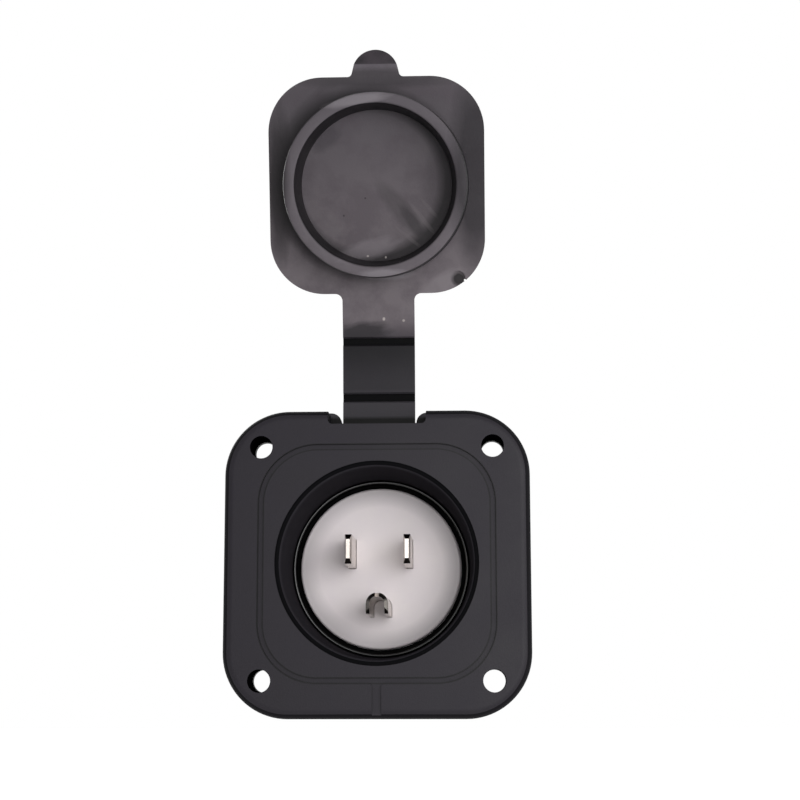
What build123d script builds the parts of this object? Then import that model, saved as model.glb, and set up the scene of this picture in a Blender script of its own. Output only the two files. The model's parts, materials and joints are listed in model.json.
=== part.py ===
from build123d import *
from math import cos, radians, sin, tan
import os

# A flanged power inlet for the side wall of a camper, with its hinged weather cap open.
# X runs to the right, Y into the wall and Z up. The origin lies on the axis of the cup,
# in the plane of the wall, which the back of the gasket touches. Millimetres throughout.

# Contacts: the standard three-pin pattern
blade_spacing = 12.7
blade_height = 6.35
blade_thickness = 1.5
blade_tip_thickness = 0.8
blade_reach = 16.0
blade_line_z = 3.2
blade_tip_bevel = 1.1
pin_drop = 11.9
pin_dia = 4.8
pin_wall = 0.8
pin_leg = 2.1
pin_tail = 1.1
pin_reach = 18.0
pin_slit = 0.9
pin_bevel = 1.0
pin_foot_bevel = 1.5
contact_fit = 0.1

# Square flange
flange_size = 66.0
flange_corner_r = 14.0
flange_proud = 12.0
flange_plate = 3.4
flange_edge_r = 2.2
skirt_wall = 2.6
rib_thickness = 2.0
screw_edge = 8.0
screw_hole_dia = 4.9
screw_boss_dia = 10.0
gutter_inset = 8.65
gutter_width = 1.2
gutter_depth = 0.5
gutter_corner_r = 11.6
drain_width = 2.0
drain_corner_r = 0.8
notch_width = 21.3
notch_depth = 3.0
notch_corner_r = 1.0

# Cup and barrel
cup_depth = 19.0
cup_mouth_dia = 41.2
cup_base_dia = 39.8
cup_lip_dia = 43.8
cup_lip_step = 0.35
cup_lip_r = 0.9
barrel_wall = 2.4
barrel_behind_wall = 20.0
ledge_bore_dia = 33.0
ledge_thickness = 2.4
lug_r = 4.0
lug_length = 11.0

# White contact carrier and the seal round it
seal_width = 1.9
carrier_front = 3.0
carrier_base = 3.0
carrier_edge_r = 0.5
carrier_fit = 0.2
seal_floor_drop = 2.5
seal_lip = 0.8
seal_lip_rise = 0.6
seal_fit = 0.1

# Terminal block behind the carrier
block_fit = 0.3
block_length = 14.0
block_collar_dia = 38.0
block_collar = 2.0
pocket_wall = 1.0
pocket_width = 10.0
terminal_screw_dia = 3.5
ground_screw_dia = 2.5
terminal_head_dia = 6.4
terminal_head = 2.0
clamp_plate = 1.2
clamp_size = 7.6
wire_gap = 2.2
carrier_screw_dia = 3.0
carrier_screw_circle = 12.1
carrier_screw_angles = (90.0, 218.0, 322.0)
screw_head_dia = 5.6
screw_head = 2.0
screw_fit = 0.15

# Cover on the back, with its cable gland
cover_wall = 2.4
cover_body = 20.0
cover_taper = 1.0
cover_end_r = 4.0
spigot_wall = 2.0
spigot_length = 2.3
spigot_fit = 0.15
seal_cord_dia = 0.9
cover_lug = 3.5
insert_dia = 4.6
insert_length = 8.0
cover_screw_dia = 3.0
cover_screw_run_out = 2.0
gland_boss_dia = 20.0
gland_boss_length = 12.0
gland_bore_dia = 11.0
bush_dia = 15.6
bush_bore_dia = 9.0
bush_length = 8.0
slip_ring = 1.0
slip_ring_bore_dia = 10.0
gland_nut_dia = 27.0
gland_nut_wall = 4.5
gland_nut_ribs = 12
gland_rib_r = 1.2
gland_fit = 0.15

# Soft moulding: wall gasket, strap and cap
gasket_thickness = 1.8
gasket_bore_clearance = 0.4
strap_width = 16.0
strap_shoulder_r = 2.3
strap_shoulder_rise = 0.9
strap_slit = 0.3
strap_rise = 4.4
tongue_fillet_r = 1.6
web_thickness = 0.6
web_slit = 0.03
lower_groove_half = 0.88
upper_groove_half = 0.78
groove_chamfer = 0.35
link_lean_angle = 5.0
cap_lean_angle = 15.0
link_over_angle = 12.7
cap_shut_angle = 180.0
shut_gap = 0.39
cap_size = 47.7
cap_corner_r = 12.0
cap_ring_fit = 0.2
cap_ring_wall = 2.6
cap_ring_root_wall = 3.75
cap_ring_height = 8.0
cap_ring_edge_r = 0.6
tab_reach = 5.95
tab_base_width = 10.8
tab_tip_width = 9.4
tab_facet = 3.2
tab_facet_depth = 1.1
tab_fillet_r = 1.0
tab_overlap = 2.0
dimple_dia = 3.2
dimple_depth = 0.5
dimple_inset = 1.5
dimple_angle = -56.0
nick_dia = 0.5
nick_inset = 0.1
nick_angle = -51.0

# Places that follow from the sizes above
flange_front_y = -flange_proud
flange_back_y = -gasket_thickness
carrier_y = flange_front_y + cup_depth
carrier_step_y = carrier_y + carrier_front
ledge_y = carrier_step_y + carrier_base
collar_y = ledge_y + ledge_thickness
pocket_y = collar_y + block_collar + contact_fit
block_end_y = ledge_y + block_length
barrel_dia = cup_mouth_dia + 2 * barrel_wall
lug_x = barrel_dia / 2 + screw_head_dia / 2 + 0.5
cover_end_y = barrel_behind_wall + cover_body
boss_end_y = cover_end_y + gland_boss_length
blade_x = blade_spacing / 2
pin_z = blade_line_z - pin_drop
hinge_y = -gasket_thickness / 2
screw_pitch = flange_size - 2 * screw_edge
gutter_inner = flange_size - 2 * gutter_inset
carrier_dia = cup_base_dia - 2 * seal_width
block_dia = ledge_bore_dia - 2 * block_fit
lower_hinge_z = flange_size / 2 + strap_rise
link_shut_angle = 90 + link_over_angle
link_length = (flange_proud + shut_gap) / cos(radians(link_over_angle))
link_sink = link_length * sin(radians(link_over_angle))
tongue_length = lower_hinge_z - link_sink - cap_size / 2
cap_z = lower_hinge_z + link_length + tongue_length + cap_size / 2
cap_ring_dia = cup_mouth_dia - 2 * cap_ring_fit
cap_ring_tip_dia = cap_ring_dia - (cup_mouth_dia - cup_base_dia) * cap_ring_height / cup_depth


def slab(sketch, back, front):
    """Raise a sketch drawn in X and Z between two depths along Y."""
    plane = Plane((0, back, 0), x_dir=(1, 0, 0), z_dir=(0, -1, 0))
    return extrude(plane * sketch, amount=back - front)


def turned_face(face, centre_z=0.0):
    """Turn a face drawn in radius and y about the line along Y at centre_z."""
    plane = Plane((0, 0, centre_z), x_dir=(1, 0, 0), z_dir=(0, 0, 1))
    return revolve(plane * face, axis=Axis((0, 0, centre_z), (0, 1, 0)))


def turned(points, centre_z=0.0):
    """Turn a straight-sided profile of (radius, y) points."""
    return turned_face(make_face(Polyline(*points, close=True)), centre_z)


def peg(dia, back, front, x=0.0, z=0.0):
    """A round bar along Y."""
    return slab(Pos(x, z) * Circle(dia / 2), back, front)


def swing(shape, axis_y, axis_z, angle):
    """Turn a shape about a line along X; a positive angle leans its top forward."""
    return Pos(0, axis_y, axis_z) * Rot(angle, 0, 0) * Pos(0, -axis_y, -axis_z) * shape


def swung_point(y, z, axis_y, axis_z, angle):
    """Where a point ends up after the same turn."""
    dy = y - axis_y
    dz = z - axis_z
    turn = radians(angle)
    return (axis_y + dy * cos(turn) - dz * sin(turn), axis_z + dy * sin(turn) + dz * cos(turn))


def rim_edges(shape, dia, y):
    """The round edges of one diameter that lie at one depth."""
    return [e for e in shape.edges().filter_by(GeomType.CIRCLE)
            if abs(2 * e.radius - dia) < 0.01 and abs(e.arc_center.Y - y) < 0.01]


def four_corners(half):
    """The four corners of a square with its centre on the cup's axis."""
    return [(x, z) for x in (-half, half) for z in (-half, half)]


def lug_sketch():
    """The two ears that the screws of the rear cover pass through."""
    ear = Pos(lug_x, 0) * Circle(lug_r)
    neck = Pos((lug_x + barrel_dia / 2 - barrel_wall) / 2, 0) * Rectangle(
        lug_x - barrel_dia / 2 + barrel_wall, 2 * lug_r)
    right = ear + neck
    return right + mirror(right, about=Plane.YZ)


def flange_pockets():
    """The hollows behind the flange, left between skirt, barrel, bosses and ribs."""
    inner = flange_size - 2 * skirt_wall
    hollow = RectangleRounded(inner, inner, flange_corner_r - skirt_wall)
    hollow -= Circle(barrel_dia / 2)
    for x, z in four_corners(screw_pitch / 2):
        hollow -= Pos(x, z) * Circle(screw_boss_dia / 2)
    for angle in (45, 135):
        hollow -= Rot(0, 0, angle) * Rectangle(2 * flange_size, rib_thickness)
    notch_guard = Rectangle(notch_width + 2 * skirt_wall, 2 * (notch_depth + skirt_wall))
    hollow -= Pos(0, flange_size / 2) * notch_guard
    return slab(hollow, flange_back_y, flange_front_y + flange_plate)


def gutter():
    """The shallow rain gutter round the cup and its drain to the lower edge."""
    outer = gutter_inner + 2 * gutter_width
    track = RectangleRounded(outer, outer, gutter_corner_r + gutter_width)
    track -= RectangleRounded(gutter_inner, gutter_inner, gutter_corner_r)
    run = (flange_size - gutter_inner) / 2
    drain = Pos(0, -gutter_inner / 2 - run / 2) * Rectangle(drain_width, run)
    track += drain
    meeting = [v for v in track.vertices()
               if abs(abs(v.X) - drain_width / 2) < 0.01
               and abs(v.Y + outer / 2) < 0.01]
    track = fillet(meeting, drain_corner_r)
    return slab(track, flange_front_y + gutter_depth, flange_front_y - 1)


def cup_cavity():
    """Everything hollow in the barrel: cup, carrier seat and room for the cover."""
    mouth = cup_mouth_dia / 2
    base = cup_base_dia / 2
    rear = cup_mouth_dia / 2
    step_y = flange_front_y + cup_lip_step
    bevel = cup_lip_r * (1 - cos(radians(45)))
    inside = [
        (mouth, step_y + cup_lip_r),
        (base, carrier_y),
        (base, ledge_y),
        (ledge_bore_dia / 2, ledge_y),
        (ledge_bore_dia / 2, collar_y),
        (rear, collar_y),
        (rear, barrel_behind_wall + 1),
        (0, barrel_behind_wall + 1),
        (0, flange_front_y - 1),
        (cup_lip_dia / 2, flange_front_y - 1),
        (cup_lip_dia / 2, step_y),
        (mouth + cup_lip_r, step_y),
    ]
    lip = ThreePointArc(inside[-1], (mouth + bevel, step_y + bevel), inside[0])
    return turned_face(make_face(Polyline(*inside) + lip))


def flange_body():
    """The square flange, rounded in front, notched for the strap and cored behind."""
    body = slab(RectangleRounded(flange_size, flange_size, flange_corner_r),
                flange_back_y, flange_front_y)
    body = fillet(body.faces().sort_by(Axis.Y)[0].edges(), flange_edge_r)
    notch = Pos(0, flange_size / 2) * RectangleRounded(
        notch_width, 2 * notch_depth, notch_corner_r)
    body -= slab(notch, flange_back_y + 1, flange_front_y - 1)
    return body - flange_pockets() - cup_cavity()


def barrel():
    """Tube through the wall, with the two ears for the rear cover."""
    lug_front_y = barrel_behind_wall - lug_length
    body = peg(barrel_dia, lug_front_y, flange_back_y)
    body += slab(Circle(barrel_dia / 2) + lug_sketch(), barrel_behind_wall, lug_front_y)
    body -= cup_cavity()
    insert_front_y = barrel_behind_wall - insert_length
    for x in (-lug_x, lug_x):
        body -= peg(insert_dia, barrel_behind_wall + 1, insert_front_y, x)
        body -= peg(cover_screw_dia + 2 * screw_fit, insert_front_y + 1,
                    insert_front_y - cover_screw_run_out, x)
    return body


def flange_housing():
    """One moulding: flange, cup, barrel and ears."""
    body = flange_body() + barrel()
    for x, z in four_corners(screw_pitch / 2):
        body -= peg(screw_hole_dia, flange_back_y + 1, flange_front_y - 1, x, z)
    return body - gutter()


def cup_seal_ring():
    """Soft ring round the white carrier: a flat floor and a lip against the cup wall."""
    outer = cup_base_dia / 2 - seal_fit
    inner = carrier_dia / 2 + seal_fit
    floor_y = carrier_y + seal_floor_drop
    crest_y = carrier_y - seal_lip_rise
    profile = [
        (inner, floor_y),
        (outer - seal_lip, floor_y),
        (outer - seal_lip, crest_y + seal_lip / 2),
        (outer - seal_lip * 0.75, crest_y),
        (outer - seal_lip * 0.25, crest_y),
        (outer, crest_y + seal_lip / 2),
        (outer, carrier_step_y),
        (inner, carrier_step_y),
    ]
    return turned(profile)


def arch(half, foot):
    """End view of the ground pin, or of its hollow: half round above, straight legs below."""
    legs = Polyline((half, 0), (half, -foot), (-half, -foot), (-half, 0))
    crown = ThreePointArc((-half, 0), (0, half), (half, 0))
    return Pos(0, pin_z) * make_face(legs + crown)


def contact_slots(clearance, back, front):
    """Passages for the two blades and the ground pin."""
    slot = Rectangle(blade_thickness + 2 * clearance, blade_height + 2 * clearance)
    passages = [Pos(x, blade_line_z) * slot for x in (-blade_x, blade_x)]
    passages.append(arch(pin_dia / 2 + clearance, pin_leg + clearance))
    return [slab(passage, back, front) for passage in passages]


def screw_places():
    """Where the three screws between block and carrier stand."""
    places = []
    for angle in carrier_screw_angles:
        turn = radians(angle)
        places.append((carrier_screw_circle * cos(turn), carrier_screw_circle * sin(turn)))
    return places


def contact_carrier():
    """White moulding that the contacts stand out of; it fills the front of the hollow pin."""
    disc = peg(carrier_dia, carrier_step_y, carrier_y)
    disc = fillet(disc.faces().sort_by(Axis.Y)[0].edges(), carrier_edge_r)
    body = disc + peg(cup_base_dia - 2 * carrier_fit, ledge_y, carrier_step_y)
    for passage in contact_slots(contact_fit, ledge_y + 1, carrier_y - 1):
        body -= passage
    core = arch(pin_dia / 2 - pin_wall - contact_fit, pin_leg + 3 * contact_fit)
    body += slab(core, carrier_step_y, carrier_y)
    for x, z in screw_places():
        body -= peg(carrier_screw_dia + screw_fit, ledge_y + 1, carrier_step_y - 0.5, x, z)
    return body


def flat_blade(side):
    """A flat blade, its tip bevelled on all four sides and its tail drilled for a screw."""
    tip_y = carrier_y - blade_reach
    shoulder_y = tip_y + blade_tip_bevel
    tail_y = block_end_y - pocket_wall
    tall = blade_height / 2
    thick = blade_thickness / 2
    thin = blade_tip_thickness / 2
    side_view = Polyline(
        (tip_y, tall - blade_tip_bevel),
        (shoulder_y, tall),
        (tail_y, tall),
        (tail_y, -tall),
        (shoulder_y, -tall),
        (tip_y, blade_tip_bevel - tall),
        close=True)
    top_view = Polyline(
        (thin, tip_y),
        (thick, shoulder_y),
        (thick, tail_y),
        (-thick, tail_y),
        (-thick, shoulder_y),
        (-thin, tip_y),
        close=True)
    blade = extrude(Plane.YZ * make_face(side_view), amount=blade_thickness, both=True)
    blade &= extrude(make_face(top_view), amount=blade_height, both=True)
    hole = Cylinder(terminal_screw_dia / 2 + contact_fit, 4 * blade_thickness,
                    rotation=(0, 90, 0))
    blade -= Pos(0, terminal_y(), 0) * hole
    return Pos(side * blade_x, 0, blade_line_z) * blade


def terminal_y():
    """Depth of the three terminal screws."""
    return (pocket_y + block_end_y - pocket_wall) / 2


def ground_pin():
    """Contact folded from strip: an arch with two legs, its nose bevelled and slit."""
    tip_y = carrier_y - pin_reach
    outer = pin_dia / 2
    bar = slab(arch(outer, pin_leg), ledge_y, tip_y)
    nose = [e for e in bar.faces().sort_by(Axis.Y)[0].edges()
            if e.center().Z > pin_z - pin_leg + 0.01]
    bar = chamfer(nose, pin_bevel)
    bar -= slab(arch(outer - pin_wall, pin_dia), ledge_y + 1, tip_y - 1)
    foot_z = pin_z - pin_leg
    below = Polyline(
        (tip_y - 1, foot_z - 1),
        (tip_y - 1, foot_z + pin_foot_bevel + 1),
        (tip_y + pin_foot_bevel + 1, foot_z - 1),
        close=True)
    bar -= extrude(Plane.YZ * make_face(below), amount=pin_dia, both=True)
    nose_cut = Pos(0, pin_z + outer) * Rectangle(pin_slit, pin_dia)
    bar -= slab(nose_cut, tip_y + pin_dia / 2, tip_y - 1)
    tail_y = block_end_y - pocket_wall
    tail = Pos(0, pin_z + pin_dia / 4) * Rectangle(pin_dia * 2 / 3, pin_tail)
    tail_bar = slab(tail, tail_y, carrier_step_y + contact_fit)
    hole = Pos(0, terminal_y(), pin_z + outer) * Cylinder(
        ground_screw_dia / 2 + contact_fit, 2 * pin_dia)
    return bar + tail_bar - hole


def pocket_frames():
    """Directions in which the three wire pockets open: right, left and down."""
    right = Plane((blade_x, 0, blade_line_z), x_dir=(0, 1, 0), z_dir=(1, 0, 0))
    left = Plane((-blade_x, 0, blade_line_z), x_dir=(0, 1, 0), z_dir=(-1, 0, 0))
    down = Plane((0, 0, pin_z), x_dir=(0, 1, 0), z_dir=(0, 0, -1))
    return [right, left, down]


def terminal_block():
    """Dark insulator with one open pocket for each wire."""
    body = peg(block_dia, block_end_y, ledge_y)
    body += peg(block_collar_dia, collar_y + block_collar, collar_y)
    for passage in contact_slots(contact_fit, block_end_y + 1, ledge_y - 1):
        body -= passage
    depth = block_end_y - pocket_y
    for frame in pocket_frames():
        pocket = Pos(pocket_y + depth, 0) * Rectangle(2 * depth, pocket_width)
        body -= extrude(frame * pocket, amount=block_dia)
        relief = Pos(terminal_y(), 0) * Circle(terminal_screw_dia / 2 + contact_fit)
        body -= extrude(frame * relief, amount=-blade_thickness - contact_fit)
    for x, z in screw_places():
        body -= peg(carrier_screw_dia + 2 * screw_fit, block_end_y + 1, ledge_y - 1, x, z)
    return body


def clamp_offset(index):
    """Distance of a clamp plate from its pocket frame, past the contact and the wire."""
    contact_half = blade_thickness / 2 if index < 2 else 0.0
    return contact_half + wire_gap


def terminal_parts():
    """The three clamp plates and the three screws that draw them onto the wires."""
    plates = []
    screws = []
    for index, frame in enumerate(pocket_frames()):
        lift = clamp_offset(index)
        centre = Pos(terminal_y(), 0)
        plate = centre * Rectangle(clamp_size, clamp_size)
        plate -= centre * Circle(terminal_screw_dia / 2 + contact_fit)
        plates.append(extrude(frame.offset(lift) * plate, amount=clamp_plate))
        shank_dia = terminal_screw_dia if index < 2 else ground_screw_dia
        shank = extrude(frame.offset(lift + clamp_plate) * (centre * Circle(
            shank_dia / 2)), amount=-lift - clamp_plate - blade_thickness)
        head = extrude(frame.offset(lift + clamp_plate) * (centre * Circle(
            terminal_head_dia / 2)), amount=terminal_head)
        slot = extrude(frame.offset(lift + clamp_plate + terminal_head) * (centre * Rectangle(
            terminal_head_dia * 2, screw_head / 2)), amount=-terminal_head / 2)
        screws.append(shank + head - slot)
    return Compound(plates), Compound(screws)


def headed_screw(shank_dia, head_y, tip_y, x, z):
    """A pan-head screw along Y, its head towards the back and slotted."""
    shank = peg(shank_dia, head_y, tip_y, x, z)
    head = peg(screw_head_dia, head_y + screw_head, head_y, x, z)
    head = fillet(head.faces().sort_by(Axis.Y)[-1].edges(), screw_head / 3)
    slot = slab(Pos(x, z) * Rectangle(2 * screw_head_dia, screw_head / 2),
                head_y + screw_head + 1, head_y + screw_head / 2)
    return shank + head - slot


def carrier_screws():
    """Three screws that pull block and carrier together round the ledge."""
    return Compound([headed_screw(carrier_screw_dia, block_end_y, carrier_step_y, x, z)
                     for x, z in screw_places()])


def rear_cover():
    """Cap over the terminals, with a spigot, two ears and the threaded gland boss."""
    outer = barrel_dia / 2
    spigot = cup_mouth_dia / 2 - spigot_fit
    inside = spigot - spigot_wall
    groove = spigot - seal_cord_dia
    mid_y = barrel_behind_wall - spigot_length / 2
    half_groove = seal_cord_dia / 2 + 0.1
    spigot_y = barrel_behind_wall - spigot_length
    boss = gland_boss_dia / 2
    profile = [
        (inside, spigot_y),
        (spigot, spigot_y),
        (spigot, mid_y - half_groove),
        (groove, mid_y - half_groove),
        (groove, mid_y + half_groove),
        (spigot, mid_y + half_groove),
        (spigot, barrel_behind_wall),
        (outer, barrel_behind_wall),
        (outer - cover_taper, cover_end_y),
        (boss, cover_end_y),
        (boss, boss_end_y),
        (bush_dia / 2 + gland_fit, boss_end_y),
        (bush_dia / 2 + gland_fit, boss_end_y - bush_length),
        (gland_bore_dia / 2, boss_end_y - bush_length),
        (gland_bore_dia / 2, cover_end_y - cover_wall),
        (inside - cover_taper, cover_end_y - cover_wall),
    ]
    body = turned(profile)
    body = fillet(rim_edges(body, 2 * (outer - cover_taper), cover_end_y), cover_end_r)
    ears = slab(lug_sketch() - Circle(outer - cover_wall / 2),
                barrel_behind_wall + cover_lug, barrel_behind_wall)
    body += ears
    for x in (-lug_x, lug_x):
        body -= peg(cover_screw_dia + 2 * screw_fit, barrel_behind_wall + cover_lug + 1,
                    barrel_behind_wall - 1, x)
    return body


def cover_seal():
    """Round cord ring in the groove of the spigot."""
    centre = cup_mouth_dia / 2 - spigot_fit - seal_cord_dia / 2 + 0.03
    mid_y = barrel_behind_wall - spigot_length / 2
    section = Plane.XY * (Pos(centre, mid_y) * Circle(seal_cord_dia / 2))
    return revolve(section, axis=Axis.Y)


def cover_inserts():
    """Brass nuts moulded into the two ears of the barrel."""
    tubes = []
    for x in (-lug_x, lug_x):
        tube = peg(insert_dia, barrel_behind_wall, barrel_behind_wall - insert_length, x)
        tube -= peg(cover_screw_dia + 2 * screw_fit, barrel_behind_wall + 1,
                    barrel_behind_wall - insert_length - 1, x)
        tubes.append(tube)
    return Compound(tubes)


def cover_screws():
    """Two screws through the ears of the cover."""
    head_y = barrel_behind_wall + cover_lug
    tip_y = barrel_behind_wall - insert_length
    return Compound([headed_screw(cover_screw_dia, head_y, tip_y, x, 0)
                     for x in (-lug_x, lug_x)])


def gland_bush():
    """Rubber sleeve that the gland nut squeezes round a cable."""
    back = boss_end_y
    front = boss_end_y - bush_length
    taper = 1.2
    profile = [
        (bush_bore_dia / 2, front),
        (bush_dia / 2 - taper, front),
        (bush_dia / 2, front + taper),
        (bush_dia / 2, back),
        (bush_bore_dia / 2, back),
    ]
    return turned(profile)


def gland_washer():
    """Slip ring between the nut and the rubber sleeve."""
    ring = peg(gland_boss_dia - 1, boss_end_y + slip_ring, boss_end_y)
    return ring - peg(slip_ring_bore_dia, boss_end_y + slip_ring + 1, boss_end_y - 1)


def gland_nut():
    """Nut of the cable gland, ribbed for the fingers."""
    front = boss_end_y - gland_boss_length * 0.55
    back = boss_end_y + slip_ring + gland_nut_wall
    outer = gland_nut_dia / 2
    body = peg(gland_nut_dia, back, front)
    for index in range(gland_nut_ribs):
        turn = radians(360.0 / gland_nut_ribs * index)
        body -= peg(2 * gland_rib_r, back + 1, front - 1,
                    (outer + gland_rib_r / 2) * cos(turn), (outer + gland_rib_r / 2) * sin(turn))
    body -= peg(gland_boss_dia + 2 * gland_fit, boss_end_y + slip_ring, front - 1)
    return body - peg(gland_bore_dia, back + 1, front - 1)


def strap_end(axis_z, side, groove_half, fold):
    """Front-to-back outline of a strap end at a hinge, as (y, z) points.

    The end keeps a thin web at mid thickness. Its front is cut back at half the fold
    angle, so that the two halves of the hinge close on each other without touching.
    """
    front = -gasket_thickness
    web = web_thickness / 2
    lean = web * tan(radians(fold / 2))
    return [
        (front, axis_z + side * (groove_half + groove_chamfer)),
        (front + groove_chamfer, axis_z + side * groove_half),
        (hinge_y - web, axis_z + side * groove_half),
        (hinge_y - web, axis_z + side * (web_slit + lean)),
        (hinge_y, axis_z + side * web_slit),
        (hinge_y + web, axis_z + side * web_slit),
        (hinge_y + web, axis_z + side * groove_half),
        (0, axis_z + side * groove_half),
    ]


def strap_piece(points):
    """Give a strap outline its width."""
    profile = Plane.YZ * make_face(Polyline(*points, close=True))
    return extrude(profile, amount=strap_width / 2, both=True)


def wall_gasket():
    """Soft pad behind the flange, with the root of the strap between two shoulders."""
    outline = RectangleRounded(flange_size, flange_size, flange_corner_r)
    outline -= Circle(barrel_dia / 2 + gasket_bore_clearance)
    for x, z in four_corners(screw_pitch / 2):
        outline -= Pos(x, z) * Circle(screw_hole_dia / 2)
    reach = strap_slit + strap_shoulder_r
    corner_x = strap_width / 2 + reach
    crest = flange_size / 2 + strap_shoulder_rise
    shoulders = strap_width + 2 * strap_slit + 4 * strap_shoulder_r
    outline += Pos(0, crest - strap_shoulder_r / 2) * Rectangle(shoulders, strap_shoulder_r)
    relief = Pos(strap_width / 2 + reach / 2, crest - strap_shoulder_r / 2 + 0.5) * Rectangle(
        reach, strap_shoulder_r + 1)
    relief -= Pos(corner_x, crest - strap_shoulder_r) * Circle(strap_shoulder_r)
    outline -= relief
    outline -= mirror(relief, about=Plane.YZ)
    body = slab(outline, 0, flange_back_y)
    root_z = flange_size / 2 - notch_depth
    root = [(0, root_z), (-gasket_thickness, root_z)]
    root += strap_end(lower_hinge_z, -1, lower_groove_half, link_shut_angle)
    return body + strap_piece(root)


def strap_link():
    """Middle length of the strap, between its two living hinges."""
    upper_z = lower_hinge_z + link_length
    lower = strap_end(lower_hinge_z, 1, lower_groove_half, link_shut_angle)
    upper = strap_end(upper_z, -1, upper_groove_half, cap_shut_angle - link_shut_angle)
    flat = strap_piece(lower[::-1] + upper)
    return swing(flat, hinge_y, lower_hinge_z, link_lean_angle)


def pull_tab():
    """Finger tab on the free edge of the cap, thinned towards its rounded tip."""
    base_z = cap_z + cap_size / 2
    shoulder_z = base_z + tab_reach - tab_facet
    half = tab_base_width / 2
    tip = tab_tip_width / 2
    root_z = base_z - tab_overlap
    outline = (
        Polyline((-tip, shoulder_z), (-half, base_z), (-half, root_z), (half, root_z),
                 (half, base_z), (tip, shoulder_z))
        + ThreePointArc((tip, shoulder_z), (0, base_z + tab_reach), (-tip, shoulder_z)))
    tab = slab(make_face(outline), 0, -gasket_thickness)
    facet = Polyline(
        (-gasket_thickness - 1, shoulder_z),
        (-gasket_thickness, shoulder_z),
        (-gasket_thickness + tab_facet_depth, base_z + tab_reach),
        (-gasket_thickness + tab_facet_depth, base_z + tab_reach + 1),
        (-gasket_thickness - 1, base_z + tab_reach + 1),
        close=True)
    wedge = extrude(Plane.YZ * make_face(facet), amount=tab_base_width, both=True)
    return tab - wedge


def cap_ring():
    """Upright ring that plugs the cup when the cap is shut."""
    root_y = -gasket_thickness / 2
    tip_y = -gasket_thickness - cap_ring_height
    outer = cap_ring_dia / 2
    tip = cap_ring_tip_dia / 2
    inner = tip - cap_ring_wall
    root_inner = outer - cap_ring_root_wall
    soft = cap_ring_edge_r
    profile = [
        (root_inner, root_y),
        (outer, root_y),
        (outer, -gasket_thickness),
        (tip, tip_y + soft),
        (tip - soft * 0.3, tip_y + soft * 0.3),
        (tip - soft, tip_y),
        (inner + soft, tip_y),
        (inner + soft * 0.3, tip_y + soft * 0.3),
        (inner, tip_y + soft),
        (root_inner, -gasket_thickness),
    ]
    return turned(profile, cap_z)


def corner_place(angle, inset):
    """A place at the cap's lower right corner, at a distance from its rounded edge."""
    centre = cap_size / 2 - cap_corner_r
    reach = cap_corner_r - inset
    return centre + reach * cos(radians(angle)), cap_z - centre + reach * sin(radians(angle))


def cap_lid():
    """Weather cap: square plate with tongue, sealing ring and pull tab, dimpled at a corner."""
    plate_sketch = Pos(0, cap_z) * RectangleRounded(cap_size, cap_size, cap_corner_r)
    plate = slab(plate_sketch, 0, -gasket_thickness)
    upper_z = lower_hinge_z + link_length
    edge_z = cap_z - cap_size / 2
    tongue = strap_end(upper_z, 1, upper_groove_half, cap_shut_angle - link_shut_angle)[::-1]
    tongue += [(-gasket_thickness, edge_z + 1), (0, edge_z + 1)]
    body = plate + strap_piece(tongue) + pull_tab()
    joins = [e for e in body.edges().filter_by(Axis.Y)
             if abs(e.center().Z - edge_z) < 0.01
             and abs(abs(e.center().X) - strap_width / 2) < 0.01]
    body = fillet(joins, tongue_fillet_r)
    tab_joins = [e for e in body.edges().filter_by(Axis.Y)
                 if abs(e.center().Z - edge_z - cap_size) < 0.01
                 and abs(abs(e.center().X) - tab_base_width / 2) < 0.01]
    body = fillet(tab_joins, tab_fillet_r)
    body += cap_ring()
    front_y = -gasket_thickness
    body -= peg(dimple_dia, front_y + dimple_depth, front_y - 1,
                *corner_place(dimple_angle, dimple_inset))
    body -= peg(nick_dia, 1, front_y - 1, *corner_place(nick_angle, nick_inset))
    raised = swing(body, hinge_y, upper_z, cap_lean_angle)
    hinge_place = swung_point(hinge_y, upper_z, hinge_y, lower_hinge_z, link_lean_angle)
    return Pos(0, hinge_place[0] - hinge_y, hinge_place[1] - upper_z) * raised


clamp_plates, terminal_screws = terminal_parts()
nodes = {
    "flange_housing": flange_housing(),
    "wall_gasket": wall_gasket(),
    "strap_link": strap_link(),
    "cap_lid": cap_lid(),
    "cup_seal_ring": cup_seal_ring(),
    "contact_carrier": contact_carrier(),
    "line_blade": flat_blade(1),
    "neutral_blade": flat_blade(-1),
    "ground_pin": ground_pin(),
    "terminal_block": terminal_block(),
    "clamp_plates": clamp_plates,
    "terminal_screws": terminal_screws,
    "carrier_screws": carrier_screws(),
    "rear_cover": rear_cover(),
    "cover_seal": cover_seal(),
    "cover_inserts": cover_inserts(),
    "cover_screws": cover_screws(),
    "gland_bush": gland_bush(),
    "gland_washer": gland_washer(),
    "gland_nut": gland_nut(),
}
os.makedirs("parts", exist_ok=True)
for name, shape in nodes.items():
    export_step(shape, os.path.join("parts", name + ".step"))
    print(name, round(shape.volume, 2))
upper = swung_point(hinge_y, lower_hinge_z + link_length, hinge_y, lower_hinge_z,
                    link_lean_angle)
print("lower hinge at", hinge_y, lower_hinge_z, "upper hinge at", upper)
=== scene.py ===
# %% [markdown]
# A flanged power inlet for a camper wall, dressed for the camera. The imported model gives
# every solid in its true place, in metres, so this script makes finishes, light and the few
# soft or fine pieces that solids can't show: the living hinges, the lip of the cup's seal,
# the gland's thread and the screws of the rear cover. The frame is loaded first, because
# everything else is placed from it.

# %% Load the frame
import json
import math

import bmesh
import bpy
from mathutils import Matrix, Vector


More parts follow.
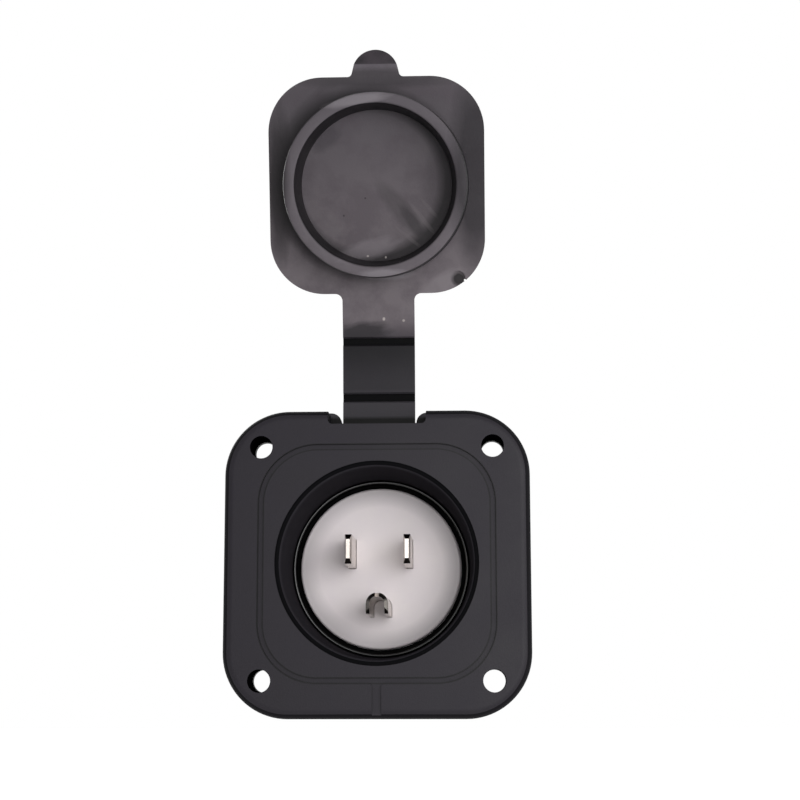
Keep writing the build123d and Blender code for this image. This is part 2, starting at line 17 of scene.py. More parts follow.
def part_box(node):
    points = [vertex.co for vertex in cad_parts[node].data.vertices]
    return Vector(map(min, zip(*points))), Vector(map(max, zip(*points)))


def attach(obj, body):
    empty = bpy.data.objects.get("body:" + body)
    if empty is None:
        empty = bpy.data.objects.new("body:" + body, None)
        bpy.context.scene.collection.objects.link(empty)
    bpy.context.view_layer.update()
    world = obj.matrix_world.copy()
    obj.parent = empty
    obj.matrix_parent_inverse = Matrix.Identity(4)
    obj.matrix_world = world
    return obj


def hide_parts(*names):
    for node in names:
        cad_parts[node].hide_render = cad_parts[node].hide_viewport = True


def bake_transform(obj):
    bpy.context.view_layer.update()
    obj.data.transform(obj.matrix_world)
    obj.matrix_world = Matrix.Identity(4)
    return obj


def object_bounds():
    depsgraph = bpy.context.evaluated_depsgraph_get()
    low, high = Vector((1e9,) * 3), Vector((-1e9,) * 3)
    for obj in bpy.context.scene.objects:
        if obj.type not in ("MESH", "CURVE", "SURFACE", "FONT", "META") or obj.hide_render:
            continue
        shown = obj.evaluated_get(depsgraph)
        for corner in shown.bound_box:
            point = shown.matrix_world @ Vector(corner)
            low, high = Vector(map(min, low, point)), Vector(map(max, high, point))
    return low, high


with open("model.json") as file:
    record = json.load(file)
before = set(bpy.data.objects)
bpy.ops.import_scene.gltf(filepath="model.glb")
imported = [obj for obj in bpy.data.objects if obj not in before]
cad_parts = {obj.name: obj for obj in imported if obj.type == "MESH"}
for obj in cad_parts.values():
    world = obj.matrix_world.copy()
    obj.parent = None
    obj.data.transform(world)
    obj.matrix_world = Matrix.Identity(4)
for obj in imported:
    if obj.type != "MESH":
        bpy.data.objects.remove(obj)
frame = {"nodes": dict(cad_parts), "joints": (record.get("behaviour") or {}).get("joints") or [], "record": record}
cad_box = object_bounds()
MM = 0.001

# %% [markdown]
# Colours are written as the hex values that a screen shows. Blender works in linear light,
# so one function turns a hex colour into linear numbers. A second small function adds a node
# to a shader or geometry tree and sets or links its inputs, which keeps each recipe short.

# %% Colours and nodes
def linear(code, alpha=1.0):
    """A hex colour as linear red, green, blue and alpha."""
    channels = [int(code[i:i + 2], 16) / 255 for i in (1, 3, 5)]
    return tuple(c / 12.92 if c <= 0.04045 else ((c + 0.055) / 1.055) ** 2.4
                 for c in channels) + (alpha,)


def add_node(tree, kind, inputs=None, **settings):
    """Add a node; an input is a value, or a socket to link from."""
    node = tree.nodes.new(kind)
    for name, value in settings.items():
        setattr(node, name, value)
    for name, value in (inputs or {}).items():
        if isinstance(value, bpy.types.NodeSocket):
            tree.links.new(value, node.inputs[name])
        else:
            node.inputs[name].default_value = value
    return node


print("charcoal in linear light", [round(c, 3) for c in linear("#3a393d")])

# %% [markdown]
# A finish starts as an empty material with the object's own coordinates, and ends with its
# shader wired to the output. In between, patterns are laid over a base tone, each as a mask
# and a colour. A mask often depends on the distance from the cup's axis, which runs along Y,
# so that distance has a recipe too.

# %% The frame of a finish
def new_material(name):
    """An empty material, its tree and the object's own coordinates."""
    material = bpy.data.materials.new(name)
    material.use_nodes = True
    tree = material.node_tree
    tree.nodes.clear()
    place = add_node(tree, "ShaderNodeTexCoord").outputs["Object"]
    return material, tree, place


def own(tree, kind="Object"):
    """The coordinates, or another output, that a started finish already has."""
    return next(n for n in tree.nodes if n.bl_idname == "ShaderNodeTexCoord").outputs[kind]


def close_material(tree, shader):
    """Send the finished shader to the material's output."""
    add_node(tree, "ShaderNodeOutputMaterial", {"Surface": shader.outputs[0]})


def tinted(tree, tone, mask, strength, colour):
    """Mix a colour over a tone where a mask is 1."""
    share = add_node(tree, "ShaderNodeMath", {0: mask, 1: strength}, operation="MULTIPLY")
    return add_node(tree, "ShaderNodeMix", {
        "Factor": share.outputs[0], "A": tone, "B": linear(colour)},
        data_type="RGBA").outputs["Result"]


def retinted(tree, shader, mask, strength, colour):
    """Mix a colour over the tone that a shader already has."""
    tone = shader.inputs["Base Color"].links[0].from_socket
    tree.links.new(tinted(tree, tone, mask, strength, colour), shader.inputs["Base Color"])


def off_axis(tree, place):
    """Distance from the axis that runs along Y through a coordinate's zero."""
    flat = add_node(tree, "ShaderNodeVectorMath", {0: place, 1: (1.0, 0.0, 1.0)},
                    operation="MULTIPLY")
    return add_node(tree, "ShaderNodeVectorMath", {0: flat.outputs["Vector"]},
                    operation="LENGTH").outputs["Value"]


# %% [markdown]
# Most of this object is injection-moulded plastic or rubber. A moulding is never one even
# tone: the melt flows in faint clouds, and the tool's surface leaves a fine grain that
# breaks up the gloss. One recipe covers both: a slow noise mixes two near tones, and a fine
# noise drives bump and roughness. Its sizes are real lengths in millimetres. The grain on
# the real part is finer than a pixel, so it is drawn at about a third of a millimetre.

# %% Moulded plastic and rubber
PLASTIC_IOR = 1.5
SHEEN_SWING = 0.06


def moulded(name, dark, light, cloud_mm, grain_mm, grain_depth_mm, rough, gloss=0.5):
    """A moulded polymer with clouded tone and a fine grain; returns material, tree, shader."""
    material, tree, place = new_material(name)
    clouds = add_node(tree, "ShaderNodeTexNoise", {
        "Vector": place, "Scale": 1 / (cloud_mm * MM), "Detail": 4.0, "Roughness": 0.6})
    tone = add_node(tree, "ShaderNodeMix", {
        "Factor": clouds.outputs["Fac"], "A": linear(dark), "B": linear(light)},
        data_type="RGBA")
    grain = add_node(tree, "ShaderNodeTexNoise", {
        "Vector": place, "Scale": 1 / (grain_mm * MM), "Detail": 2.0, "Roughness": 0.5})
    sheen = add_node(tree, "ShaderNodeMapRange", {
        "Value": clouds.outputs["Fac"], "From Min": 0.3, "From Max": 0.7,
        "To Min": rough - SHEEN_SWING, "To Max": rough + SHEEN_SWING})
    bump = add_node(tree, "ShaderNodeBump", {
        "Height": grain.outputs["Fac"], "Distance": grain_depth_mm * MM, "Strength": 0.6})
    shader = add_node(tree, "ShaderNodeBsdfPrincipled", {
        "Base Color": tone.outputs["Result"], "Roughness": sheen.outputs["Result"],
        "Normal": bump.outputs["Normal"], "IOR": PLASTIC_IOR, "Specular IOR Level": gloss})
    close_material(tree, shader)
    return material, tree, shader


def ringed(tree, shader, edge_mm, share, colour):
    """Mix a colour over a moulding's tone by distance from the cup's axis."""
    amount = add_node(tree, "ShaderNodeMapRange", {
        "Value": off_axis(tree, own(tree)), "From Min": edge_mm[0] * MM,
        "From Max": edge_mm[1] * MM, "To Min": share[0], "To Max": share[1]})
    retinted(tree, shader, amount.outputs["Result"], 1.0, colour)


# Phenolic of the terminal block: dark brown, dull, with a visible filler cloud.
phenolic, _, _ = moulded("brown_phenolic", "#241a15", "#33261e", 4, 0.6, 0.02, 0.55)
# Urea moulding of the contact carrier: off-white, warm, satin.
white_urea, tree, shader = moulded("off_white_urea", "#e9dfe4", "#f2ebea", 6, 0.6, 0.01, 0.42)
# Its rim is painted a little grey: painted shade from the cup's wall.
ringed(tree, shader, (13.8, 16.8), (0.0, 0.5), "#a09b9e")
# Nitrile rubber of the seals: smooth, near black, with a wet-looking gloss.
seal_rubber, _, _ = moulded("nitrile_seal_rubber", "#060607", "#0a0a0b", 6, 0.5, 0.004, 0.2)
# The same rubber in the bottom of the seal's groove, dull and a little darker: painted shade.
dull_shaded_rubber, _, _ = moulded("dull_shaded_seal_rubber", "#030303", "#060606", 6, 0.5, 0.01, 0.7, 0.05)
print("first moulded finishes", len(bpy.data.materials))

# %% [markdown]
# The housing is glass-filled nylon from a spark-eroded tool: charcoal, satin, with a trace of
# grain. Its face is greyed by dust. The same nylon gets several finishes, and faces choose
# theirs later: the sides of the flange, the lip round the cup's mouth and the walls of the
# screw holes get darker copies, which are painted shade, and the wall of the cup a lighter
# copy, which is painted light. Both edges of the rain gutter get a fine dark line of painted
# shade. The gutter is a square with round corners, so the two fine dark lines come from the
# distance to such a square: outside the straight part, that distance is measured from the
# centre of the corner.

# %% Black nylon
GUTTER_HALF = 24.95 * MM
GUTTER_CORNER = 12.2 * MM
GUTTER_WIDTH = 1.2 * MM
GUTTER_SHADE_LINE = (0.1 * MM, 0.22 * MM)


def gutter_edges(tree):
    """A mask that is 1 along both edges of the gutter, for their painted shade lines."""
    place = add_node(tree, "ShaderNodeVectorMath", {0: own(tree), 1: (1.0, 0.0, 1.0)},
                     operation="MULTIPLY")
    folded = add_node(tree, "ShaderNodeVectorMath", {0: place.outputs["Vector"]},
                      operation="ABSOLUTE")
    straight = GUTTER_HALF - GUTTER_CORNER
    past = add_node(tree, "ShaderNodeVectorMath", {
        0: folded.outputs["Vector"], 1: (straight, 0.0, straight)}, operation="SUBTRACT")
    past = add_node(tree, "ShaderNodeVectorMath", {0: past.outputs["Vector"]},
                    operation="MAXIMUM")
    distance = off_axis(tree, past.outputs["Vector"])
    # First the distance from the centre line, then the distance from the nearer edge.
    for step in (GUTTER_CORNER, GUTTER_WIDTH / 2):
        moved = add_node(tree, "ShaderNodeMath", {0: distance, 1: step}, operation="SUBTRACT")
        distance = add_node(tree, "ShaderNodeMath", {0: moved.outputs[0]},
                            operation="ABSOLUTE").outputs[0]
    return add_node(tree, "ShaderNodeMapRange", {
        "Value": distance, "From Min": GUTTER_SHADE_LINE[0], "From Max": GUTTER_SHADE_LINE[1],
        "To Min": 1.0, "To Max": 0.0}).outputs["Result"]


# The face of the flange, the barrel and the ears. It darkens just before the cup's lip:
# painted shade on the rounding into the mouth.
satin_nylon, tree, shader = moulded(
    "satin_black_nylon", "#1b181d", "#242128", 14, 0.35, 0.03, 0.48, 0.2)
ringed(tree, shader, (21.7, 22.0), (1.0, 0.0), "#101012")
# Painted shade: a fine dark line along both walls of the gutter.
retinted(tree, shader, gutter_edges(tree), 0.8, "#060607")
# The wall of the cup, which the tool's core left drawn and dull: hardly any gloss, and a
# lighter tone than the face, which is painted light that makes up for the shade in the cup.
cup_nylon_painted_light, _, _ = moulded("dull_lit_cup_nylon", "#29272b", "#312f33", 10, 0.4, 0.02, 0.6, 0.0)
# The sides and rounded edges of the flange: blacker and matt, painted shade.
skirt_nylon_painted_shade, _, _ = moulded("matt_shaded_skirt_nylon", "#111013", "#18171a", 10, 0.4, 0.03, 0.6, 0.05)
# The lip of the cup: a black outline round the mouth, painted shade on its rounding.
lip_nylon_painted_shade, _, _ = moulded("black_shaded_lip_nylon", "#08080a", "#0d0d0f", 6, 0.4, 0.02, 0.6, 0.02)
# The walls of the screw holes: nearly black, painted shade in the hollows.
hole_nylon_painted_shade, _, _ = moulded("black_shaded_hole_nylon", "#060507", "#0b0a0c", 4, 0.4, 0.02, 0.7, 0.0)
# The rear cover and the gland, which dust never greys: a cooler, plainer black.
shell_nylon, _, _ = moulded("rear_shell_nylon", "#202023", "#28282b", 9, 0.4, 0.03, 0.52, 0.25)
print("gutter", round(2 * GUTTER_HALF / MM, 1), "mm wide, finishes", len(bpy.data.materials))

# %% [markdown]
# The gasket, strap and cap are one thermoplastic elastomer. It starts almost black and takes
# a brownish grey haze where it is handled and dust settles. Small light specks of dust are
# the cells of a Voronoi pattern, cut down to a few by a random value. Haze, and painted
# shade, are laid on by height, as a list of heights and colours that fade into each other.

# %% Elastomer with specks of dust
SPECK_SPACING = 2.6 * MM
HAZE_AND_SHADE_COVER = 0.8


def specked(tree, place, tone, share):
    """Mix light specks of dust, 0.3 mm wide, over a tone."""
    cells = add_node(tree, "ShaderNodeTexVoronoi", {
        "Vector": place, "Scale": 1 / SPECK_SPACING, "Randomness": 1.0})
    speck = add_node(tree, "ShaderNodeMapRange", {
        "Value": cells.outputs["Distance"], "From Min": 0.05, "From Max": 0.085,
        "To Min": 0.4, "To Max": 0.0})
    chosen = add_node(tree, "ShaderNodeSeparateColor", {"Color": cells.outputs["Color"]})
    rare = add_node(tree, "ShaderNodeMath", {0: chosen.outputs["Red"], 1: 1 - share},
                    operation="GREATER_THAN")
    return tinted(tree, tone, speck.outputs["Result"], rare.outputs[0], "#b9b1ae")


def elastomer(name, dark, light, share, rough, gloss):
    """Elastomer with specks; returns material, tree, shader, coordinates and its tone."""
    material, tree, shader = moulded(name, dark, light, 11, 0.45, 0.035, rough, gloss)
    place = own(tree)
    tone = specked(tree, place, shader.inputs["Base Color"].links[0].from_socket, share)
    tree.links.new(tone, shader.inputs["Base Color"])
    return material, tree, shader, place, tone


def haze_and_shade_by_height(tree, tone, height, stops):
    """Mix colours of haze and of painted shade over a tone by height; a stop is (height in mm, colour)."""
    for (low, _), (high, colour) in zip(stops, stops[1:]):
        step = add_node(tree, "ShaderNodeMapRange", {
            "Value": height, "From Min": low * MM, "From Max": high * MM},
            interpolation_type="SMOOTHSTEP")
        tone = tinted(tree, tone, step.outputs["Result"], HAZE_AND_SHADE_COVER, colour)
    return tone


print("haze covers", HAZE_AND_SHADE_COVER)

# %% [markdown]
# The link and the gasket are nearly black, and the link darkens towards its top: painted
# shade. Near black at the root of the strap, where it comes out of the notch, and on the
# gasket's edge there is painted shade of the notch. The thin webs of the hinges are blackest:
# painted shade of their grooves.

# %% Strap and grooves
NOTCH_SHADE = (32.5 * MM, 33.3 * MM)
strap_elastomer, tree, shader, place, tone = elastomer(
    "black_elastomer_painted_shade", "#343236", "#3e3c40", 0.03, 0.5, 0.12)
height = add_node(tree, "ShaderNodeSeparateXYZ", {"Vector": place}).outputs["Z"]
# The link darkens towards its top: painted shade.
tone = haze_and_shade_by_height(tree, tone, height, ((38.0, None), (39.5, "#29272b"), (49.0, "#0d0c0f")))
# Near black below the notch's edge, on the strap's root and the gasket: painted shade of the notch.
notch_shade = add_node(tree, "ShaderNodeMapRange", {
    "Value": height, "From Min": NOTCH_SHADE[0], "From Max": NOTCH_SHADE[1],
    "To Min": 1.0, "To Max": 0.0})
tone = tinted(tree, tone, notch_shade.outputs["Result"], 1.0, "#030303")
tree.links.new(tone, shader.inputs["Base Color"])
# The hinge skins are near black: painted shade of their deep grooves.
groove_elastomer_painted_shade = elastomer("shaded_hinge_groove_elastomer", "#060607", "#0b0b0c", 0.0, 0.7, 0.05)[0]
print("strap finishes", strap_elastomer.name, groove_elastomer_painted_shade.name)

# %% [markdown]
# The cap carries the marks that the photograph shows. Each mark is a soft mask in the cap's
# own plane. That plane leans forward, so places on it are worked out along the lean, from
# the hinge that the frame gives. Two kinds of mask do: an oval with a ragged edge, and a
# plain round one.

# %% The cap's own plane
CAP_LEAN = math.radians(15.0)
CAP_REACH = 34.6 * MM
joints = {joint["name"]: joint for joint in frame["joints"]}
cap_up = Vector((0, -math.sin(CAP_LEAN), math.cos(CAP_LEAN)))
cap_front = Vector((0, -math.cos(CAP_LEAN), -math.sin(CAP_LEAN)))
cap_centre = Vector(joints["cap_hinge"]["pos_m"]) + cap_up * CAP_REACH


def cap_plane(tree, place):
    """Coordinates on the cap in metres: right, forward and up from its centre."""
    shifted = add_node(tree, "ShaderNodeVectorMath", {
        0: place, 1: tuple(-cap_centre)}, operation="ADD")
    parts = [add_node(tree, "ShaderNodeVectorMath", {
        0: shifted.outputs["Vector"], 1: tuple(axis)}, operation="DOT_PRODUCT")
        for axis in (Vector((1, 0, 0)), cap_front, cap_up)]
    return add_node(tree, "ShaderNodeCombineXYZ", {
        "X": parts[0].outputs["Value"], "Y": parts[1].outputs["Value"],
        "Z": parts[2].outputs["Value"]}).outputs["Vector"]


SPOT_STREAKS = 2.2
SPOT_EDGE = (0.55, 1.05)


def spot(tree, plane, across, up, angle, length, width, ragged):
    """A mask that is 1 in the middle of an oval on the cap and fades at its ragged edge."""
    local = add_node(tree, "ShaderNodeMapping", {
        "Vector": plane, "Location": (across * MM, 0.0, up * MM),
        "Rotation": (0.0, math.radians(-angle), 0.0),
        "Scale": (length * MM / 2, 1.0, width * MM / 2)}, vector_type="TEXTURE")
    streaks = add_node(tree, "ShaderNodeTexNoise", {
        "Vector": local.outputs["Vector"], "Scale": SPOT_STREAKS, "Detail": 3.0})
    rough_edge = add_node(tree, "ShaderNodeMath", {
        0: streaks.outputs["Fac"], 1: ragged, 2: off_axis(tree, local.outputs["Vector"])},
        operation="MULTIPLY_ADD")
    # The noise lies about a half, so half of its share is added to the edge.
    return add_node(tree, "ShaderNodeMapRange", {
        "Value": rough_edge.outputs[0], "From Min": SPOT_EDGE[0] + ragged / 2,
        "From Max": SPOT_EDGE[1] + ragged / 2, "To Min": 1.0, "To Max": 0.0}
        ).outputs["Result"]


def within(tree, plane, across, up, soft_mm):
    """A mask that is 1 near a point on the cap and fades between two distances from it."""
    away = add_node(tree, "ShaderNodeVectorMath", {
        0: plane, 1: (-across * MM, 0.0, -up * MM)}, operation="ADD")
    return add_node(tree, "ShaderNodeMapRange", {
        "Value": off_axis(tree, away.outputs["Vector"]), "From Min": soft_mm[0] * MM,
        "From Max": soft_mm[1] * MM, "To Min": 1.0, "To Max": 0.0}).outputs["Result"]


print("cap centre", [round(c / MM, 2) for c in cap_centre])

# %% [markdown]
# The cap's tone changes with height: lightest low on the tongue, darker towards the top of the
# plate and lighter again at the root of the pull tab, whose end is painted near black:
# painted shade of its upturned facet. Slow clouds drift over all of it. The edge of the ring
# is burnished by the cup and gets a more even tone, partly a painted sheen.

# %% Haze on the cap
CLOUD_SIZE = 8 * MM
RING_EDGE = (8.1 * MM, 8.8 * MM)
cap_elastomer, tree, shader, place, tone = elastomer(
    "hazy_grey_elastomer", "#574f54", "#70676d", 0.28, 0.5, 0.15)
plane = cap_plane(tree, place)
split = add_node(tree, "ShaderNodeSeparateXYZ", {"Vector": plane})
# The last stop paints the end of the pull tab near black: painted shade of its upturned facet.
tone = haze_and_shade_by_height(tree, tone, split.outputs["Z"], (
    (-34.0, None), (-33.9, "#343136"), (-29.0, "#726b6f"), (21.0, "#474348"),
    (24.5, "#5f5a5e"), (26.5, "#625d64"), (26.7, "#050506")))
drift = add_node(tree, "ShaderNodeTexNoise", {
    "Vector": plane, "Scale": 1 / CLOUD_SIZE, "Detail": 5.0, "Roughness": 0.62})
cloud = add_node(tree, "ShaderNodeMapRange", {
    "Value": drift.outputs["Fac"], "From Min": 0.42, "From Max": 0.62})
tone = tinted(tree, tone, cloud.outputs["Result"], 0.5, "#4a4349")
# The ring's burnished edge gets a more even tone, partly a painted sheen.
edge = add_node(tree, "ShaderNodeMapRange", {
    "Value": split.outputs["Y"], "From Min": RING_EDGE[0], "From Max": RING_EDGE[1]})
haze_and_ring_sheen = tinted(tree, tone, edge.outputs["Result"], 0.6, "#5b565b")
print("nodes in the cap's haze", len(tree.nodes))

# %% [markdown]
# Two dark crescents are painted shadow of the ring: one in the corner at the right of its
# floor, and one on a strip of the plate beside it on the left. Each is one round mask less
# another that is shifted a little.

# %% Painted shadow crescents beside the ring
BEHIND_RING = (6.5 * MM, 7.5 * MM)
# Painted shadow in the corner at the right of the ring's floor.
floor_shadow_crescent = add_node(tree, "ShaderNodeMath", {
    0: within(tree, plane, 0.0, 0.0, (17.6, 18.0)),
    1: within(tree, plane, -1.7, 1.0, (14.8, 17.0))}, operation="SUBTRACT", use_clamp=True)
tone = tinted(tree, haze_and_ring_sheen, floor_shadow_crescent.outputs[0], 0.85, "#161416")
# Painted shadow on a strip of the plate at the left of the ring.
beside = add_node(tree, "ShaderNodeMath", {
    0: within(tree, plane, -1.7, 0.5, (19.8, 22.2)),
    1: within(tree, plane, 0.0, 0.0, (18.2, 18.6))}, operation="SUBTRACT", use_clamp=True)
low = add_node(tree, "ShaderNodeMapRange", {
    "Value": split.outputs["Y"], "From Min": BEHIND_RING[0], "From Max": BEHIND_RING[1],
    "To Min": 1.0, "To Max": 0.0})
beside = add_node(tree, "ShaderNodeMath", {0: beside.outputs[0], 1: low.outputs["Result"]},
                  operation="MULTIPLY")
tone = tinted(tree, tone, beside.outputs[0], 0.8, "#1b191b")
print("nodes with the crescents", len(tree.nodes))

# %% [markdown]
# The other marks are a list of ovals. The right and top margins of the plate are darker.
# A dark strip left of the ring and a dark arc at its upper left are painted shadow of the
# ring, and light streaks on the top and bottom of the ring's edge are painted highlights. A
# slanted dark smear lies on the floor of the ring, where a finger wiped the haze away, with
# light streaks beside it. A few specks follow, and the moulded dimple near the lower right
# corner is painted dark: painted shade in its hollow. Places and lengths are in millimetres.

# %% Marks on the cap
MARKS = (
    # across, up, angle, length, width, ragged edge, strength, colour
    (22.0, 3.0, 90, 48, 13.0, 0.2, 0.85, "#242125"),
    # Painted shadow of the ring: a strip at its left and an arc at its upper left.
    (-21.5, 0.5, 90, 38, 6.5, 0.3, 0.7, "#1b191b"),
    (-15.5, 16.0, 45, 20, 5.0, 0.4, 0.35, "#2b282b"),
    (0.0, 23.5, 0, 44, 5.0, 0.3, 0.6, "#2e2b2f"),
    (14.0, 5.0, 80, 22, 7.0, 0.4, 0.2, "#39363a"),
    # Painted highlight on the top of the ring's edge.
    (-4.0, 18.3, 8, 17, 3.0, 0.4, 0.5, "#8a858a"),
    (-11.0, 10.5, 40, 9, 5.0, 0.5, 0.5, "#39353a"),
    (-2.0, -14.0, 15, 15, 5.0, 0.5, 0.5, "#7d777c"),
    (5.0, -5.0, -50, 17, 5.0, 0.5, 0.5, "#3d393c"),
    (8.0, -8.3, -55, 11, 3.0, 0.6, 0.6, "#2f2c2f"),
    (9.9, -7.2, -52, 10, 1.2, 0.8, 0.25, "#746e71"),
    (7.0, -11.5, -40, 8, 1.0, 0.8, 0.22, "#746e71"),
    (11.5, -5.0, -50, 6, 1.0, 0.8, 0.2, "#746e71"),
    (14.0, -22.0, 30, 13, 5.0, 0.4, 0.4, "#868084"),
    # Painted highlight on the bottom of the ring's edge.
    (2.0, -19.5, 0, 13, 3.0, 0.4, 0.5, "#8a858a"),
    (-3.5, -32.6, 5, 14, 5.5, 0.6, 0.8, "#232124"),
    (-2.2, -15.5, 0, 0.6, 0.5, 0.1, 0.7, "#b9b1ae"),
    (1.8, -15.8, 0, 0.5, 0.6, 0.1, 0.7, "#b9b1ae"),
    (-2.6, -2.7, 0, 0.5, 0.5, 0.1, 0.7, "#1b191b"),
    (-7.4, -6.5, 0, 0.5, 0.6, 0.1, 0.6, "#1b191b"),
    (1.2, -29.5, 0, 0.7, 0.9, 0.1, 0.8, "#b9b1ae"),
    (5.6, -29.9, 0, 0.7, 0.7, 0.1, 0.6, "#b9b1ae"),
    # The dimple, painted dark: painted shade in its hollow.
    (17.97, -20.8, 0, 3.6, 3.6, 0.2, 0.9, "#0b0a0b"))
for *oval, strength, colour in MARKS:
    tone = tinted(tree, tone, spot(tree, plane, *oval), strength, colour)
print("marks on the cap", len(MARKS))

# %% [markdown]
# The marks lie on the inside only, so the outside of the cap keeps the plain haze. The walls
# of the ring and of the rim are painted near black: painted shade. The angle between a face
# and the cap's front tells them apart.

# %% Inside, outside and walls
SKIN = 0.2 * MM
WALL_TURN = (0.3, 0.75)
front = add_node(tree, "ShaderNodeMapRange", {
    "Value": split.outputs["Y"], "From Min": -SKIN, "From Max": SKIN})
tone = add_node(tree, "ShaderNodeMix", {
    "Factor": front.outputs["Result"], "A": haze_and_ring_sheen, "B": tone},
    data_type="RGBA").outputs["Result"]
facing = add_node(tree, "ShaderNodeVectorMath", {0: own(tree, "Normal"), 1: tuple(cap_front)},
                  operation="DOT_PRODUCT")
flatness = add_node(tree, "ShaderNodeMath", {0: facing.outputs["Value"]}, operation="ABSOLUTE")
wall = add_node(tree, "ShaderNodeMapRange", {
    "Value": flatness.outputs[0], "From Min": WALL_TURN[0], "From Max": WALL_TURN[1],
    "To Min": 1.0, "To Max": 0.0})
# The walls of the ring and of the rim are painted near black: painted shade.
tone = tinted(tree, tone, wall.outputs["Result"], 0.85, "#121113")
tree.links.new(tone, shader.inputs["Base Color"])
print("nodes in the cap's finish", len(tree.nodes))

# %% [markdown]
# Metals: the contacts are brass strip with bright nickel plate, the terminals plain brass
# and the screws zinc-plated steel. A plated or rolled surface keeps fine lines from its
# making. They are a noise stretched along the length of the piece, which only stirs the
# roughness. A metal keeps the default IOR, and its colour sits in the base colour. The
# bevels at the contacts' tips get a painted dark reflection. They are the only faces there
# that look forward and also up or down, which the normal tells.

# %% Metals
DRAW_LINE = 0.3 * MM
LINE_STRETCH = 20
LINE_SHEEN = (-0.03, 0.05)
BEVEL_TURN = (0.12, 0.28)


def drawn_metal(name, colour, rough, bevel_reflection_colour=None):
    """A metal with faint drawing lines along Y; its bevels across Z can get a painted dark reflection."""
    material, tree, place = new_material(name)
    lines = add_node(tree, "ShaderNodeMapping", {
        "Vector": place, "Scale": (1 / DRAW_LINE, 1 / (LINE_STRETCH * DRAW_LINE),
                                   1 / DRAW_LINE)})
    streak = add_node(tree, "ShaderNodeTexNoise", {
        "Vector": lines.outputs["Vector"], "Scale": 1.0, "Detail": 2.0})
    sheen = add_node(tree, "ShaderNodeMapRange", {
        "Value": streak.outputs["Fac"], "To Min": rough + LINE_SHEEN[0],
        "To Max": rough + LINE_SHEEN[1]})
    shader = add_node(tree, "ShaderNodeBsdfPrincipled", {
        "Base Color": linear(colour), "Metallic": 1.0, "Roughness": sheen.outputs["Result"]})
    if bevel_reflection_colour:
        # The forward faces that also look up or down get a painted dark reflection.
        facing = add_node(tree, "ShaderNodeNewGeometry").outputs["Normal"]
        turned = add_node(tree, "ShaderNodeSeparateXYZ", {"Vector": facing})
        upright = add_node(tree, "ShaderNodeMath", {0: turned.outputs["Z"]},
                           operation="ABSOLUTE")
        forward = add_node(tree, "ShaderNodeMath", {0: turned.outputs["Y"], 1: -1.0},
                           operation="MULTIPLY")
        both = add_node(tree, "ShaderNodeMath", {0: upright.outputs[0], 1: forward.outputs[0]},
                        operation="MULTIPLY")
        bevel = add_node(tree, "ShaderNodeMapRange", {
            "Value": both.outputs[0], "From Min": BEVEL_TURN[0], "From Max": BEVEL_TURN[1]})
        tree.links.new(tinted(tree, linear(colour), bevel.outputs["Result"], 1.0,
                              bevel_reflection_colour), shader.inputs["Base Color"])
    close_material(tree, shader)
    return material


# Bright nickel over brass: warm white, with a soft mirror and a painted dark reflection on the bevels.
nickel_plate = drawn_metal("bright_nickel_plate", "#d2cbc4", 0.24, "#2b2725")
# The same plate on the flat front of the ground pin's crown: grey and duller.
grey_nickel = drawn_metal("grey_nickel_plate", "#78716d", 0.4)
# Rolled brass of clamps and inserts: yellow, half bright.
plain_brass = drawn_metal("plain_brass", "#c9a45c", 0.32)
# Zinc plate on steel screws: cool light grey, half bright.
zinc_steel = drawn_metal("zinc_plated_steel", "#b4b5b8", 0.35)
print("metals", nickel_plate.name, grey_nickel.name, plain_brass.name, zinc_steel.name)

# %% [markdown]
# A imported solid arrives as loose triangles. Its form is right, but each triangle would catch
# the light by itself. A merged copy, shaded smooth between the real edges, stands in for it.
# Weighted normals keep the flat faces flat beside their roundings. The copy keeps every
# corner where it is, so it is the same shape, and the solid stays hidden for collision.

# %% Plain pieces
def plain_mesh(piece):
    """Apply a piece's modifiers and leave a plain mesh."""
    depsgraph = bpy.context.evaluated_depsgraph_get()
    mesh = bpy.data.meshes.new_from_object(piece.evaluated_get(depsgraph))
    piece.modifiers.clear()
    piece.data = mesh


def new_piece(name, mesh, material):
    """Put a mesh into the scene as a piece with one material."""
    piece = bpy.data.objects.new(name, mesh)
    bpy.context.scene.collection.objects.link(piece)
    dress(piece, material)
    return piece


def dress(piece, material):
    """Give a piece one material in place of those it has."""
    piece.data.materials.clear()
    piece.data.materials.append(material)


def shade_smooth(mesh, sharp_deg):
    """Shade a mesh smooth, apart from edges sharper than an angle."""
    mesh.polygons.foreach_set("use_smooth", [True] * len(mesh.polygons))
    mesh.set_sharp_from_angle(angle=math.radians(sharp_deg))


print("solids to copy", sorted(frame["nodes"]))

# %% [markdown]
# Each copy rides on the body that its solid belongs to, stands in for that solid, and is
# named after its node. The body comes from the frame's record, so one function does for
# every node.

# %% Smooth copies of the solids
EDGE_DEG = 34
MERGE = 1e-7


def smooth_copy(node, material):
    """A merged, smooth-shaded copy of a CAD node that stands for it."""
    work = bmesh.new()
    work.from_mesh(frame["nodes"][node].data)
    bmesh.ops.remove_doubles(work, verts=work.verts, dist=MERGE)
    work.verts.index_update()
    points = [v.co.copy() for v in work.verts]
    faces = [[v.index for v in f.verts] for f in work.faces]
    work.free()
    mesh = bpy.data.meshes.new(node + "_surface")
    mesh.from_pydata(points, [], faces)
    piece = new_piece(node + "_surface", mesh, material)
    shade_smooth(mesh, EDGE_DEG)
    weigh = piece.modifiers.new("weigh", "WEIGHTED_NORMAL")
    weigh.keep_sharp = True
    weigh.weight = 100
    plain_mesh(piece)
    body = next(b for b, members in frame["record"]["behaviour"]["bodies"].items()
                if node in members)
    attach(piece, body)
    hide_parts(node)
    return piece


